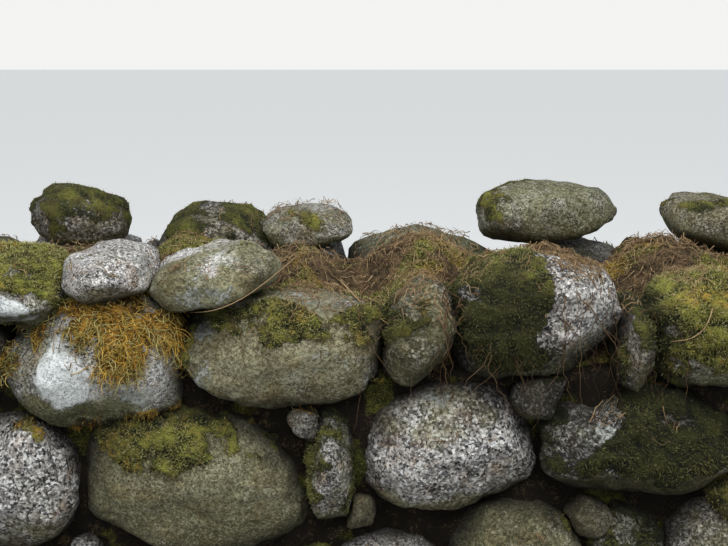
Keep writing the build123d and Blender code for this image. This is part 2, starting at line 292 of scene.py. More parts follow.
class WallColours(PropertyGroup):
    """Colours of the stone, the growth, the earth and the stage."""

    white_grain: colour("White grains", "Brightest grains of the granite", (0.88, 0.88, 0.86))
    feldspar: colour("Feldspar", "Pale warm grains of the granite", (0.50, 0.465, 0.43))
    quartz: colour("Quartz", "Grey grains of the granite", (0.205, 0.20, 0.198))
    mica: colour("Mica", "Black grains of the granite", (0.024, 0.022, 0.020))
    rust: colour("Rust", "Brown stain on the stone", (0.62, 0.45, 0.30))
    film: colour("Olive film", "Thin green and brown film on old stone", (0.155, 0.162, 0.062))
    lichen: colour("Lichen", "Pale crust of lichen", (0.95, 0.985, 0.97))
    moss_deep: colour("Moss shade", "Moss between its shoots", (0.010, 0.012, 0.004))
    moss_amber: colour("Orange moss shade", "Dry orange moss between its shoots", (0.120, 0.062, 0.010))
    moss_green: colour("Green moss", "Tips of green moss", (0.300, 0.300, 0.055))
    moss_rust: colour("Rusty moss", "Darkest strands of dry orange moss", (0.36, 0.150, 0.020))
    moss_orange: colour("Orange moss", "Tips of dry orange moss", (0.86, 0.52, 0.085))
    moss_light: colour("Moss tips", "Lightest tips of the moss", (0.66, 0.62, 0.28))
    moss_brown: colour("Withered moss", "Brown patches in the moss", (0.165, 0.120, 0.045))
    old_lichen: colour("Old lichen", "Greyer crust of lichen", (0.52, 0.54, 0.50))
    # Earth is also the colour that the boulders darken to in their painted shade in the joints and under them
    earth: colour("Earth", "Dark soil in the joints", (0.013, 0.010, 0.007))
    humus: colour("Dry earth", "Dry crumbs, needles and rootlets on top", (0.200, 0.135, 0.070))
    straw: colour("Dry stalks", "Dead stalks and rootlets", (0.44, 0.31, 0.165))
    bark: colour("Root bark", "Thin brown roots", (0.105, 0.050, 0.022))
    brown_film: colour("Brown film", "Browner film that some stones have instead", (0.200, 0.160, 0.066))
    film_tint: colour("Film tint", "What the film leaves of the stone's own colour", (0.47, 0.48, 0.26))
    crust_shade: colour("Lichen specks", "Dark specks in the crust of lichen", (0.17, 0.175, 0.135))
    floor: colour("Floor", "Pale floor and backdrop of the stage", (0.90, 0.90, 0.89))
    sky_light: colour("Sky light", "Light of the even sky", (0.90, 0.96, 1.0))
    lit_floor: colour("Floor in the light", "The floor as it lights the wall", (0.30, 0.30, 0.29))


class StageSettings(PropertyGroup):
    """The camera and the lamps."""

    lens: FloatProperty(name="Lens", description="Focal length on a 36 mm sensor", default=50.0)
    distance: metres("Distance", "From the camera to the front face", 1.445)
    pitch: FloatProperty(
        name="Pitch", description="How far the camera looks down", default=radians(15), subtype="ANGLE")
    aim_height: metres("Aim height", "Level on the front face at the picture's middle", 1.004)
    sky: FloatProperty(name="Sky", description="Strength of the even light", default=0.46)
    floor_glow: FloatProperty(
        name="Floor glow", description="Paleness that the floor shows to the camera alone", default=0.30)
    top_lamp: FloatProperty(
        name="Top lamp", description="Power of the lamp above", default=76.0, unit="POWER")
    side_lamp: FloatProperty(
        name="Side lamp", description="Power of the lamp at the side", default=14.0, unit="POWER")


# Fields


def noise(points):
    """Smooth random field of about -1 to 1. Each corner of a unit lattice has a random slope, and the
    eight planes of a cell are blended by 6t^5 - 15t^4 + 10t^3 along each axis."""
    cell = np.floor(points).astype(np.int64)
    part = points - cell
    fade = part**3 * (part * (part * 6 - 15) + 10)
    total = np.zeros(points.shape[:-1])
    for corner in np.ndindex(2, 2, 2):
        corner = np.array(corner)
        x, y, z = np.moveaxis((cell + corner) & 255, -1, 0)
        slope = SLOPES[ORDER[(ORDER[(ORDER[x] + y) & 255] + z) & 255]]
        share = np.where(corner, fade, 1 - fade).prod(-1)
        total += share * ((part - corner) * slope).sum(-1)
    return total * 1.6


def rough(points, size, octaves=3, shift=0.0):
    """Sum of noise at size, size/2, size/4 and so on, each half as strong as the one before."""
    total = np.zeros(points.shape[:-1])
    for octave in range(octaves):
        total += 0.5**octave * noise(points * (2**octave / size) + shift + 11.7 * octave)
    return total


def cushions(points, size, shift=0.0):
    """Rounded bumps with creases between them: the size of a noise that crosses zero at each crease."""
    return np.abs(noise(points / size + shift)) + 0.5 * np.abs(noise(points * 2.3 / size + shift + 5.1))


def smooth(low, high, value):
    """0 below low, 1 above high, and 3t^2 - 2t^3 between them."""
    t = np.clip((value - low) / (high - low), 0, 1)
    return t * t * (3 - 2 * t)


def held_in(points):
    """Points no lower than the ground, and beyond the box of the solids eased off to PROUD by a tanh."""
    limit = np.array([HALF_LENGTH, HALF_BASE])
    over = np.maximum(np.abs(points[..., :2]) - limit, 0)
    points[..., :2] -= np.sign(points[..., :2]) * (over - PROUD * np.tanh(over / PROUD))
    points[..., 2] = np.maximum(points[..., 2], 0)
    return points


def blurred(grid, reach):
    """A grid whose values are means over reach steps each way along both axes, three times over."""
    for axis in (0, 1) * 3:
        padded = np.pad(grid, [(reach, reach) if side == axis else (0, 0) for side in (0, 1)], mode="edge")
        moved = sum(np.roll(padded, shift, axis) for shift in range(-reach, reach + 1)) / (2 * reach + 1)
        grid = np.take(moved, np.arange(grid.shape[axis]) + reach, axis)
    return grid


def face_width(z):
    """Half the wall's width at level z, on its battered face."""
    return HALF_BASE - FACE_LEAN * z


def within(points, stretch):
    """Whether points lie in a stretch of the wall: between two places along it and above a level."""
    (left, right), lowest = stretch
    return (points[..., 0] > left) & (points[..., 0] < right) & (points[..., 2] > lowest)


# Meshes


def new_piece(name, points, quads, triangles, values, material, slot, replaced=()):
    """One mesh piece from whole arrays, with its values at the vertices, riding on the wall."""
    mesh = bpy.data.meshes.new(name)
    mesh.vertices.add(len(points))
    mesh.vertices.foreach_set("co", points.astype(np.float32).ravel())
    loops = np.concatenate([quads.ravel(), triangles.ravel()]).astype(np.int32)
    mesh.loops.add(len(loops))
    mesh.loops.foreach_set("vertex_index", loops)
    starts = np.concatenate([np.arange(len(quads)) * 4, len(quads) * 4 + np.arange(len(triangles)) * 3])
    mesh.polygons.add(len(starts))
    mesh.polygons.foreach_set("loop_start", starts.astype(np.int32))
    mesh.polygons.foreach_set("use_smooth", np.ones(len(starts), bool))
    for label, rows in values.items():
        layer = mesh.attributes.new(label, "FLOAT_COLOR", "POINT")
        full = np.ones((len(points), 4), np.float32)
        full[:, :rows.shape[1]] = rows
        layer.data.foreach_set("color", full.ravel())
    mesh.update(calc_edges=True)
    mesh.validate()
    mesh.materials.append(material)
    piece = bpy.data.objects.new(name, mesh)
    bpy.context.scene.collection.objects.link(piece)
    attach(piece, "root")
    if replaced:
        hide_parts(*replaced)
    return piece


def joined(parts):
    """Several (points, quads, triangles, values) as one, with the indices moved on."""
    starts = np.cumsum([0] + [len(part[0]) for part in parts])
    points = np.concatenate([part[0] for part in parts])
    quads = np.concatenate([part[1] + start for part, start in zip(parts, starts)])
    triangles = np.concatenate([part[2] + start for part, start in zip(parts, starts)])
    values = {label: np.concatenate([part[3][label] for part in parts]) for label in parts[0][3]}
    return points, quads, triangles, values


def ball_faces(rings, columns):
    """Quads between the rings of a closed ball and triangles at its two poles. Its points are the
    rings in order, then the two poles."""
    index = np.arange(rings * columns).reshape(rings, columns)
    ahead = np.roll(index, -1, axis=1)
    quads = np.stack([index[:-1], ahead[:-1], ahead[1:], index[1:]], -1).reshape(-1, 4)
    first, last = rings * columns, rings * columns + 1
    low = np.stack([ahead[0], index[0], np.full(columns, first)], -1)
    high = np.stack([index[-1], ahead[-1], np.full(columns, last)], -1)
    return quads, np.concatenate([low, high])


def normals_of(points, quads, triangles):
    """Unit normals at the points: the sum of the cross products of the faces round each."""
    corners = np.concatenate([triangles, quads[:, :3], quads[:, [0, 2, 3]]])
    a, b, c = points[corners[:, 0]], points[corners[:, 1]], points[corners[:, 2]]
    across = np.cross(b - a, c - a)
    total = np.stack([
        sum(np.bincount(corners[:, k], across[:, axis], len(points)) for k in range(3))
        for axis in range(3)], -1)
    return total / np.maximum(np.linalg.norm(total, axis=1, keepdims=True), 1e-12)


def slab_faces(rows, columns):
    """Quads of a closed slab: a front grid, a back grid and the strip round their edges."""
    front = np.arange(rows * columns).reshape(rows, columns)
    back = front + rows * columns
    sheet = np.stack([front[:-1, :-1], front[:-1, 1:], front[1:, 1:], front[1:, :-1]], -1).reshape(-1, 4)
    behind = (sheet + rows * columns)[:, ::-1]
    edge = np.concatenate([front[0, :-1], front[:-1, -1], front[-1, :0:-1], front[:0:-1, 0]])
    far = np.concatenate([back[0, :-1], back[:-1, -1], back[-1, :0:-1], back[:0:-1, 0]])
    strip = np.stack([edge, far, np.roll(far, -1), np.roll(edge, -1)], -1)
    return np.concatenate([sheet, behind, strip])


def solids_of(node):
    """The node's separate solids from left to right, each as its triangles' corners (n, 3, 3)."""
    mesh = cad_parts[node].data
    mesh.calc_loop_triangles()
    points = np.zeros(len(mesh.vertices) * 3, np.float32)
    mesh.vertices.foreach_get("co", points)
    points = points.reshape(-1, 3).astype(float)
    faces = np.zeros(len(mesh.loop_triangles) * 3, np.int32)
    mesh.loop_triangles.foreach_get("vertices", faces)
    merged, label = np.unique(np.round(points * 1e5).astype(np.int64), axis=0, return_inverse=True)
    faces = label.ravel()[faces.reshape(-1, 3)]
    group = np.arange(len(merged))
    while True:
        lowest = group[faces].min(axis=1)
        joined_up = group.copy()
        np.minimum.at(joined_up, faces.ravel(), np.repeat(lowest, 3))
        if (joined_up == group).all():
            break
        group = joined_up
    corners = (merged / 1e5)[faces]
    owner = group[faces[:, 0]]
    solids = [corners[owner == one] for one in np.unique(owner)]
    return sorted(solids, key=lambda solid: solid[..., 0].mean())


def faces_of(solid):
    """The triangles of a solid that have an area, their unit normals and their areas times two."""
    cross = np.cross(solid[:, 1] - solid[:, 0], solid[:, 2] - solid[:, 0])
    area = np.linalg.norm(cross, axis=1)
    solid, cross, area = (rows[area > 1e-9] for rows in (solid, cross, area))
    return solid, cross / area[:, None], area


def planes_of(solid):
    """Unit normals of a solid's planes and how far each lies from the frame's origin."""
    solid, normals, _ = faces_of(solid)
    return normals, (solid[:, 0] * normals).sum(1)


def rounded_skin(solid, axes, step, power):
    """A closed skin round a convex solid. Along each way from the middle the radius is the area-weighted
    power mean of (normal . way / reach) over the solid's planes, to the power -1, so edges round off.
    Ways lie on rings round the first of axes, crowded towards the second, which looks outwards."""
    solid, normals, area = faces_of(solid)
    middle = (solid.mean(axis=1) * area[:, None]).sum(0) / area.sum()
    reach = ((solid[:, 0] - middle) * normals).sum(1)
    half = np.ptp((solid.reshape(-1, 3) - middle) @ axes.T, axis=0) / 2
    rings = int(np.clip(2 * half[0] / step, *RINGS))
    columns = int(np.clip(4 * (half[1] + half[2]) / step * 0.8, *RING_POINTS))
    lean = np.linspace(0, pi, rings + 2)[1:-1, None]
    turn = np.linspace(0, 2 * pi, columns, endpoint=False)[None, :]
    turn = turn - 0.4 * np.sin(turn)
    ways = np.stack([-np.cos(lean) + 0 * turn, np.sin(lean) * np.cos(turn), np.sin(lean) * np.sin(turn)], -1)
    ways = np.concatenate([ways.reshape(-1, 3), [(-1.0, 0, 0), (1.0, 0, 0)]]) * half
    ways = ways @ axes
    ways /= np.linalg.norm(ways, axis=1, keepdims=True)
    toward = np.clip(ways @ normals.T, 0, None) / reach
    exact = 1 / toward.max(axis=1)
    soft = (toward**power @ (area / area.sum())) ** (-1 / power)
    soft *= (exact / soft).mean()
    quads, triangles = ball_faces(rings, columns)
    if np.linalg.det(axes) < 0:
        quads, triangles = quads[:, ::-1], triangles[:, ::-1]
    return middle + ways * soft[:, None], quads, triangles


def depth_behind_faces(points):
    """How far each point lies inside the wall's outline: the least of its distances from the faces, the
    ends and the top, where the top's is no less than TOP_DEPTH."""
    behind = face_width(points[:, 2]) - np.abs(points[:, 1])
    inward = HALF_LENGTH - np.abs(points[:, 0])
    below = np.maximum(0, CAP_HIGH.z - TOP_DEPTH - points[:, 2]) + TOP_DEPTH
    return np.minimum(np.minimum(behind, inward), below)


def growth_on(points, normals, finish, number):
    """Growth and weather at each point: a boulder's finish, plus what faces up, plus noise, plus the
    patches of the front face, whose edges noise makes ragged. Moss is a smooth step of its sum."""
    levels = np.repeat(np.array(finish)[:, None], len(points), axis=1)
    if (normals[:, 1] * points[:, 1]).mean() > 0 and points[:, 1].mean() < 0:
        across = points[:, 0] + 0.026 * rough(points, 0.075, 5, 3.3)
        up = points[:, 2] + 0.022 * rough(points, 0.075, 5, 8.8)
        for kind, x, z, wide, high, strength in FRONT_PATCHES:
            away = ((across - x) / wide) ** 2 + ((up - z) / high) ** 2
            levels[PATCHED[kind]] += strength * smooth(1.9, 0.3, away)
    moss, hue, lichen, tone, film, coarse = levels
    upward = normals[:, 2]
    cover = moss * 1.5 - 0.95 + 0.42 * upward + 0.55 * rough(points, 0.11, 4, number * 1.7)
    cover += 0.42 * rough(points, 0.034, 3, number * 0.9)
    moss = smooth(-0.30, 0.55, cover)
    hue = np.clip(hue + 0.35 * rough(points, 0.08, 2, 40 + number), 0, 1)
    lichen = np.clip(lichen * 0.8 + 0.45 * rough(points, 0.07, 3, 80 + number), 0, 1.2)
    tone = np.clip(tone + 0.14 * rough(points, 0.10, 2, 60 + number), 0, 1)
    # Film is thicker and darker on faces that look down: partly a real olive film, partly painted shade under
    # the boulders
    film = np.clip(film + 0.25 * rough(points, 0.09, 2, 20 + number) + 0.7 * smooth(0.15, 0.9, -upward), 0, 1)
    return moss, hue, lichen, tone, film, coarse


def dressed_boulder(solid, axes, step, finish, number, shape):
    """One boulder's skin. Its relief is the sum of broad lumps and fine unevenness less worn hollows, and
    cushions of moss stand on that in proportion to the moss. Dirt and painted shade is the greater of a
    smooth step of the depth behind the wall's faces, dark earth and painted shade in the joints, and a share
    of one of how far the skin looks down, painted shade under the boulders."""
    *finish, edge = finish
    points, quads, triangles = rounded_skin(solid, axes, step, shape.rounding * edge)
    normals = normals_of(points, quads, triangles)
    size = np.ptp(points, axis=0).min() / COMMON_SIZE
    relief = shape.lumps * min(size, 1.0) * rough(points, 0.13, 3, number * 3.1)
    relief += shape.roughness * rough(points, 0.032, 3, number)
    relief -= shape.roughness * edge * smooth(0.25, 0.5, rough(points, 0.055, 3, 31 + number))
    points = points + normals * relief[:, None]
    moss, hue, lichen, tone, film, coarse = growth_on(points, normals, finish, number)
    pile = cushions(points, 0.040, 7.7) + 0.6 * cushions(points, 0.014, 2.2)
    points = points + normals * (shape.moss_depth * moss * (0.25 + 0.75 * pile))[:, None]
    points = held_in(points)
    # Darker with depth behind the faces: dark earth and painted shade in the joints
    dirt_and_shade = smooth(0.030, 0.090, depth_behind_faces(points))
    # Darker where the skin looks down: painted shade under the boulders
    shade_below = smooth(0.35, 1.0, -normals[:, 2] + 0.25 * rough(points, 0.05, 3, 15 + number))
    dirt_and_shade = np.maximum(dirt_and_shade, 0.62 * shade_below)
    values = {
        "growth": np.stack([moss, hue, lichen], -1),
        "stone": np.stack([tone, film, coarse], -1),
        "joint": np.stack([dirt_and_shade, np.full(len(points), (number * 0.618) % 1), pile], -1),
    }
    return points, quads, triangles, values


FACE_AXES = {side: np.array([(1, 0, 0), (0, side, 0), (0, 0, 1)], float) for side in (-1, 1)}
END_AXES = {side: np.array([(0, 1, 0), (side, 0, 0), (0, 0, 1)], float) for side in (-1, 1)}


def dress_node(node, axes, first_number):
    """The piece that stands for one node of boulders, whose numbers count up from first_number.
    Boulders that NAMED_FINISHES leaves out take their finish by their number."""
    shape = bpy.context.scene.stone_shape
    names = NAMED_FINISHES.get(node, "").split()
    choices = list(FINISHES)
    parts = []
    for place, solid in enumerate(solids_of(node)):
        hulls.append(planes_of(solid))
        number = first_number + place
        close = node.startswith("front") and within(solid.reshape(-1, 3).mean(0), CLOSE)
        step = shape.close_step if close else shape.far_step
        name = names[place] if place < len(names) else choices[(number * 5 + place * 3) % len(choices)]
        parts.append(dressed_boulder(solid, axes, step, FINISHES[name], number, shape))
    made = joined(parts)
    # The small stones deep in the joints are darkened: earth and painted shade
    if node.endswith("pinning_stones"):
        dirt_and_shade = made[3]["joint"][:, 0]
        made[3]["joint"][:, 0] = np.maximum(dirt_and_shade, PIN_DIRT_AND_SHADE)
    new_piece(f"dressed_{node}", *made, boulder_material(), "granite", [node])
    return made


# Materials


class Wiring:
    """Adds nodes to one node tree and links them."""

    def __init__(self, tree):
        self.tree = tree

    def add(self, kind, **settings):
        """A new node with these settings."""
        made = self.tree.nodes.new(kind)
        for name, value in settings.items():
            setattr(made, name, value)
        return made

    def put(self, socket, value):
        """Links an output to a socket, or sets the socket's own value."""
        if isinstance(value, bpy.types.NodeSocket):
            self.tree.links.new(value, socket)
        elif isinstance(value, (tuple, list)) and len(value) == 3 and len(socket.default_value) == 4:
            socket.default_value = (*value, 1.0)
        else:
            socket.default_value = value

    def maths(self, operation, a, b=0.0, clamp=False):
        """One sum, product or the like of two values."""
        made = self.add("ShaderNodeMath", operation=operation, use_clamp=clamp)
        self.put(made.inputs[0], a)
        self.put(made.inputs[1], b)
        return made.outputs[0]

    def times(self, a, b):
        """The product of two values."""
        return self.maths("MULTIPLY", a, b)

    def plus(self, a, b, clamp=False):
        """The sum of two values, held between 0 and 1 where clamp is true."""
        return self.maths("ADD", a, b, clamp)

    def swing(self, value, amount, middle=0.5):
        """How far a value lies from its middle, times an amount."""
        return self.times(self.maths("SUBTRACT", value, middle), amount)

    def mixed(self, share, a, b, blend="MIX"):
        """Colour a turning to b as share goes from 0 to 1."""
        made = self.add("ShaderNodeMix", data_type="RGBA", blend_type=blend)
        self.put(made.inputs[0], share)
        self.put(made.inputs[6], a)
        self.put(made.inputs[7], b)
        return made.outputs[2]

    def place(self):
        """The place on the object."""
        return self.add("ShaderNodeTexCoord").outputs["Object"]

    def noise(self, place, scale, detail=3.0, roughness=0.6, distortion=0.0, wanted=0):
        """Value or colour of a noise texture at place."""
        made = self.add("ShaderNodeTexNoise")
        values = {"Vector": place, "Scale": scale, "Detail": detail, "Roughness": roughness,
                  "Distortion": distortion}
        for name, value in values.items():
            self.put(made.inputs[name], value)
        return made.outputs[wanted]

    def cells(self, place, scale):
        """Random colour of the nearest cell of a Voronoi texture, as three values."""
        made = self.add("ShaderNodeTexVoronoi")
        self.put(made.inputs["Vector"], place)
        self.put(made.inputs["Scale"], scale)
        return self.parts_of(made.outputs["Color"])

    def spread(self, value, low, high, to_low=0.0, to_high=1.0):
        """Value mapped smoothly from low..high to to_low..to_high."""
        made = self.add("ShaderNodeMapRange", interpolation_type="SMOOTHSTEP")
        self.put(made.inputs["Value"], value)
        for socket, number in zip(("From Min", "From Max", "To Min", "To Max"), (low, high, to_low, to_high)):
            self.put(made.inputs[socket], number)
        return made.outputs[0]

    def parts_of(self, vector):
        """The three parts of a vector or colour."""
        made = self.add("ShaderNodeSeparateXYZ")
        self.put(made.inputs[0], vector)
        return made.outputs

    def attribute(self, name):
        """The three values kept at the vertices under a name."""
        return self.parts_of(self.add("ShaderNodeAttribute", attribute_name=name).outputs["Vector"])

    def group(self, tree, **values):
        """A placed node group with its inputs set by their names."""
        made = self.add("ShaderNodeGroup", node_tree=tree)
        for name, value in values.items():
            self.put(made.inputs[name], value)
        return made.outputs

    def bump(self, height, distance, under=None):
        """The normal of a bump of full strength from a height, over another bump's normal."""
        made = self.add("ShaderNodeBump")
        made.inputs["Strength"].default_value = 1.0
        made.inputs["Distance"].default_value = distance
        self.put(made.inputs["Height"], height)
        if under is not None:
            self.put(made.inputs["Normal"], under)
        return made.outputs[0]


def named_colours():
    """The scene's colours by name, each as three numbers."""
    settings = bpy.context.scene.wall_colours
    return SimpleNamespace(**{name: tuple(getattr(settings, name)) for name in WallColours.__annotations__})


def new_group(name, inputs, outputs):
    """An empty node group's wiring, its input sockets and its output sockets. An input is named with its
    default, or with None where it is a place. Outputs are values, apart from one that is called Colour."""
    tree = bpy.data.node_groups.new(name, "ShaderNodeTree")
    for label, default in inputs.items():
        kind = "NodeSocketVector" if default is None else "NodeSocketFloat"
        socket = tree.interface.new_socket(name=label, in_out="INPUT", socket_type=kind)
        if default is not None:
            socket.default_value = default
    for label in outputs:
        kind = "NodeSocketColor" if label == "Colour" else "NodeSocketFloat"
        tree.interface.new_socket(name=label, in_out="OUTPUT", socket_type=kind)
    w = Wiring(tree)
    given = w.add("NodeGroupInput").outputs[:len(inputs)]
    return w, given, w.add("NodeGroupOutput").inputs


def granite_group(colours):
    """Grains of white, feldspar, quartz and mica a few millimetres across, stained in places."""
    w, (place, coarse, tone), out = new_group(
        "granite_grain", {"Place": None, "Coarse": 0.5, "Tone": 0.5}, ("Colour", "Height"))
    bent = w.add("ShaderNodeVectorMath", operation="MULTIPLY_ADD")
    w.put(bent.inputs[0], w.noise(place, 260.0, 2.0, 0.5, wanted="Color"))
    bent.inputs[1].default_value = (0.006, 0.006, 0.006)
    w.put(bent.inputs[2], place)
    mixed_sizes = w.add("ShaderNodeMix", data_type="FLOAT")
    w.put(mixed_sizes.inputs[0], w.times(coarse, 0.72))
    w.put(mixed_sizes.inputs[2], w.cells(bent.outputs[0], 520.0)[0])
    w.put(mixed_sizes.inputs[3], w.cells(bent.outputs[0], 250.0)[1])
    grain = mixed_sizes.outputs[0]
    level = w.plus(grain, w.swing(w.noise(place, 30.0, 5.0, 0.68), 0.55))
    level = w.plus(level, w.swing(tone, 0.55))
    dark = w.mixed(w.spread(level, 0.22, 0.36), colours.mica, colours.quartz)
    warm = w.mixed(w.spread(level, 0.46, 0.60), dark, colours.feldspar)
    bright = w.mixed(w.spread(level, 0.70, 0.86), warm, colours.white_grain)
    stain = w.spread(w.noise(place, 17.0, 5.0, 0.7), 0.50, 0.68, 0.0, 0.75)
    w.put(out[0], w.mixed(stain, bright, colours.rust, "MULTIPLY"))
    pits = w.spread(w.noise(place, 170.0, 3.0, 0.7), 0.30, 0.52)
    w.put(out[1], w.plus(w.times(grain, 0.4), pits))


def moss_group(colours):
    """Moss as dark hollows and lighter tips, partly its own colour and partly painted shade in the hollows
    and between the cushions, from green to orange, with pale dry ends.
    """
    w, (place, hue, tip), out = new_group(
        "moss_pile", {"Place": None, "Hue": 0.3, "Tip": 0.5}, ("Colour", "Height"))
    fine = w.noise(place, 420.0, 3.0, 0.75)
    broad = w.noise(place, 75.0, 3.0, 0.6)
    hue = w.plus(hue, w.swing(broad, 0.9), True)
    orange = w.mixed(0.5, colours.moss_rust, colours.moss_orange)
    tips = w.mixed(w.spread(hue, 0.35, 0.85), colours.moss_green, orange)
    withered = w.spread(w.noise(place, 30.0, 5.0, 0.7), 0.46, 0.64, 0.0, 0.8)
    tips = w.mixed(withered, tips, colours.moss_brown)
    depth = w.plus(w.times(fine, 0.8), w.times(broad, 0.35))
    deep = w.mixed(w.spread(hue, 0.45, 0.90), colours.moss_deep, colours.moss_amber)
    # Darker low in the moss and lighter on the cushions' tops: partly the moss's colour, partly painted shade
    body = w.mixed(w.spread(w.plus(depth, w.swing(tip, 0.35, 0.6)), 0.42, 0.72), deep, tips)
    w.put(out[0], w.mixed(w.spread(fine, 0.58, 0.80), body, colours.moss_light))
    w.put(out[1], depth)


def crust_group():
    """Where a thin growth shows: its strength broken up by noise into patches with ragged edges."""
    w, (place, strength, scale, edge), out = new_group(
        "ragged_cover", {"Place": None, "Strength": 0.5, "Scale": 60.0, "Edge": 0.08}, ("Mask",))
    spots = w.noise(place, scale, 6.0, 0.72, 0.4)
    level = w.maths("SUBTRACT", w.plus(spots, strength), 1.0)
    w.put(out[0], w.spread(level, w.times(edge, -1.0), edge))


def shared_groups(colours):
    """The node groups, built once."""
    if "granite_grain" not in bpy.data.node_groups:
        granite_group(colours)
        moss_group(colours)
        crust_group()
    return (bpy.data.node_groups[name] for name in ("granite_grain", "moss_pile", "ragged_cover"))


def new_material(name, **values):
    """An empty material, its wiring and its shader, whose inputs are set by their names, with
    underscores for spaces."""
    made = bpy.data.materials.new(name)
    made.use_nodes = True
    made.node_tree.nodes.clear()
    w = Wiring(made.node_tree)
    shader = w.add("ShaderNodeBsdfPrincipled")
    w.put(w.add("ShaderNodeOutputMaterial").inputs[0], shader.outputs[0])
    for label, value in values.items():
        w.put(shader.inputs[label.replace("_", " ")], value)
    return made, w, shader.inputs


def boulder_material():
    """Weathered granite with its olive film, lichen and moss, darkened by dirt and painted shade in the
    joints and under the boulders.
    """
    if "weathered_boulder" in bpy.data.materials:
        return bpy.data.materials["weathered_boulder"]
    colours = named_colours()
    granite, moss_pile, ragged = shared_groups(colours)
    made, w, shader = new_material("weathered_boulder", Specular_IOR_Level=0.35)
    place = w.place()
    moss, hue, lichen = w.attribute("growth")
    tone, film, coarse = w.attribute("stone")
    dirt_and_shade, chance, pile = w.attribute("joint")
    grain = w.group(granite, Place=place, Coarse=coarse, Tone=tone)
    filmy = w.group(ragged, Place=place, Strength=w.times(film, 0.78), Scale=26.0, Edge=0.30)[0]
    film_colour = w.mixed(chance, colours.film, colours.brown_film)
    tinted = w.mixed(w.times(filmy, 0.8), grain[0], colours.film_tint, "MULTIPLY")
    filmed = w.mixed(w.times(filmy, 0.45), tinted, film_colour)
    spots = w.group(ragged, Place=place, Strength=w.times(lichen, 0.66), Scale=85.0, Edge=0.07)[0]
    mottle = w.spread(w.noise(place, 330.0, 4.0, 0.8), 0.31, 0.44)
    pale = w.mixed(w.spread(lichen, 0.75, 1.15), colours.old_lichen, colours.lichen)
    crusted = w.mixed(w.times(spots, 0.94), filmed, w.mixed(mottle, colours.crust_shade, pale))
    # Stone darkened towards the earth's colour by the dirt and painted shade
    soiled_and_shaded = w.mixed(w.times(dirt_and_shade, 0.93), crusted, colours.earth)
    cushion = w.group(moss_pile, Place=place, Hue=hue, Tip=pile)
    shaded = w.mixed(w.spread(tone, 0.0, 0.6, 0.14, 1.0), colours.moss_deep, cushion[0])
    # Moss darkened likewise: painted shade in the joints and under the boulders
    shaded = w.mixed(w.times(dirt_and_shade, 0.75), shaded, colours.moss_deep)
    cover = w.plus(w.times(moss, 0.72), 0.10)
    mossy = w.group(ragged, Place=place, Strength=cover, Scale=120.0, Edge=0.07)[0]
    w.put(shader["Base Color"], w.mixed(mossy, soiled_and_shaded, shaded))
    w.put(shader["Roughness"], w.spread(mossy, 0.0, 1.0, 0.78, 0.97))
    relief = w.bump(w.times(spots, mottle), 0.0009, w.bump(grain[1], 0.0022))
    w.put(shader["Normal"], w.bump(w.times(cushion[1], mossy), 0.0045, relief))
    return made


def moss_material():
    """The shoots of moss, darker at their roots: partly their own colour, partly painted shade."""
    if "moss_shoots" in bpy.data.materials:
        return bpy.data.materials["moss_shoots"]
    colours = named_colours()
    made, w, shader = new_material("moss_shoots", Roughness=0.9, Specular_IOR_Level=0.2)
    hue, chance, tip = w.attribute("shoot")
    green = w.mixed(chance, colours.moss_green, colours.moss_light)
    dry = w.mixed(w.spread(chance, 0.0, 0.6), colours.moss_rust, colours.moss_orange)
    dry = w.mixed(w.spread(chance, 0.65, 1.0), dry, colours.moss_light)
    tips = w.mixed(w.spread(hue, 0.35, 0.85), green, dry)
    deep = w.mixed(w.spread(hue, 0.45, 0.90), colours.moss_deep, colours.moss_amber)
    w.put(shader["Base Color"], w.mixed(tip, deep, tips))
    return made


def stalk_material(name, lightest):
    """Stalks or roots from brown bark to a lightest colour by chance, with fine streaks."""
    if name in bpy.data.materials:
        return bpy.data.materials[name]
    colours = named_colours()
    made, w, shader = new_material(name, Roughness=0.85, Specular_IOR_Level=0.25)
    streak = w.noise(w.place(), 350.0, 2.0, 0.7)
    shade = w.plus(w.times(w.attribute("shoot")[1], 0.7), w.times(streak, 0.4), True)
    w.put(shader["Base Color"], w.mixed(shade, colours.bark, getattr(colours, lightest)))
    return made


def earth_material(name, dry, shade):
    """Soil with crumbs, more of them dry where it lies open, and moss that is darker in the shade."""
    if name in bpy.data.materials:
        return bpy.data.materials[name]
    colours = named_colours()
    _, moss_pile, ragged = shared_groups(colours)
    made, w, shader = new_material(name, Roughness=0.95, Specular_IOR_Level=0.15)
    place = w.place()
    crumbs = w.times(w.noise(place, 260.0, 4.0, 0.75), 0.6)
    level = w.plus(crumbs, w.times(w.noise(place, 45.0, 4.0, 0.65), 0.5))
    crumbly = w.spread(level, 0.62 - 0.22 * dry, 0.86 - 0.12 * dry)
    soil = w.mixed(crumbly, colours.earth, colours.humus)
    moss, hue, _ = w.attribute("growth")
    mossy = w.group(ragged, Place=place, Strength=w.times(moss, 0.9), Scale=60.0, Edge=0.10)[0]
    pile = w.group(moss_pile, Place=place, Hue=hue, Tip=0.5)[0]
    w.put(shader["Base Color"], w.mixed(mossy, soil, w.mixed(shade, pile, colours.moss_deep)))
    w.put(shader["Normal"], w.bump(level, 0.006))
    return made


def joint_soil():
    """The dark soil deep in the joints."""
    return earth_material("joint_soil", 0.25, 0.55)


# Pieces


def earth_slab(name, outer, inner, flipped, mossy, material, hue=(0.3, 0.0), replaced=()):
    """A closed slab of earth between two grids of points. Its moss is a smooth step of noise: mossy has
    the most of it, where the step begins and ends, and the noise's size and shift. Its moss's hue is a
    level plus a share of noise."""
    most, low, full, size, shift = mossy
    points = np.concatenate([outer.reshape(-1, 3), inner.reshape(-1, 3)])
    quads = slab_faces(*outer.shape[:2])
    if flipped:
        quads = quads[:, ::-1]
    moss = most * smooth(low, full, rough(points, size, 3, shift))
    tint = np.clip(hue[0] + hue[1] * rough(points, 0.10, 2, 67.0), 0, 1)
    growth = np.stack([moss, tint, 0 * moss], -1)
    new_piece(name, points, quads, NO_TRIANGLES, {"growth": growth}, material, "earth", replaced)
    return points, quads, growth


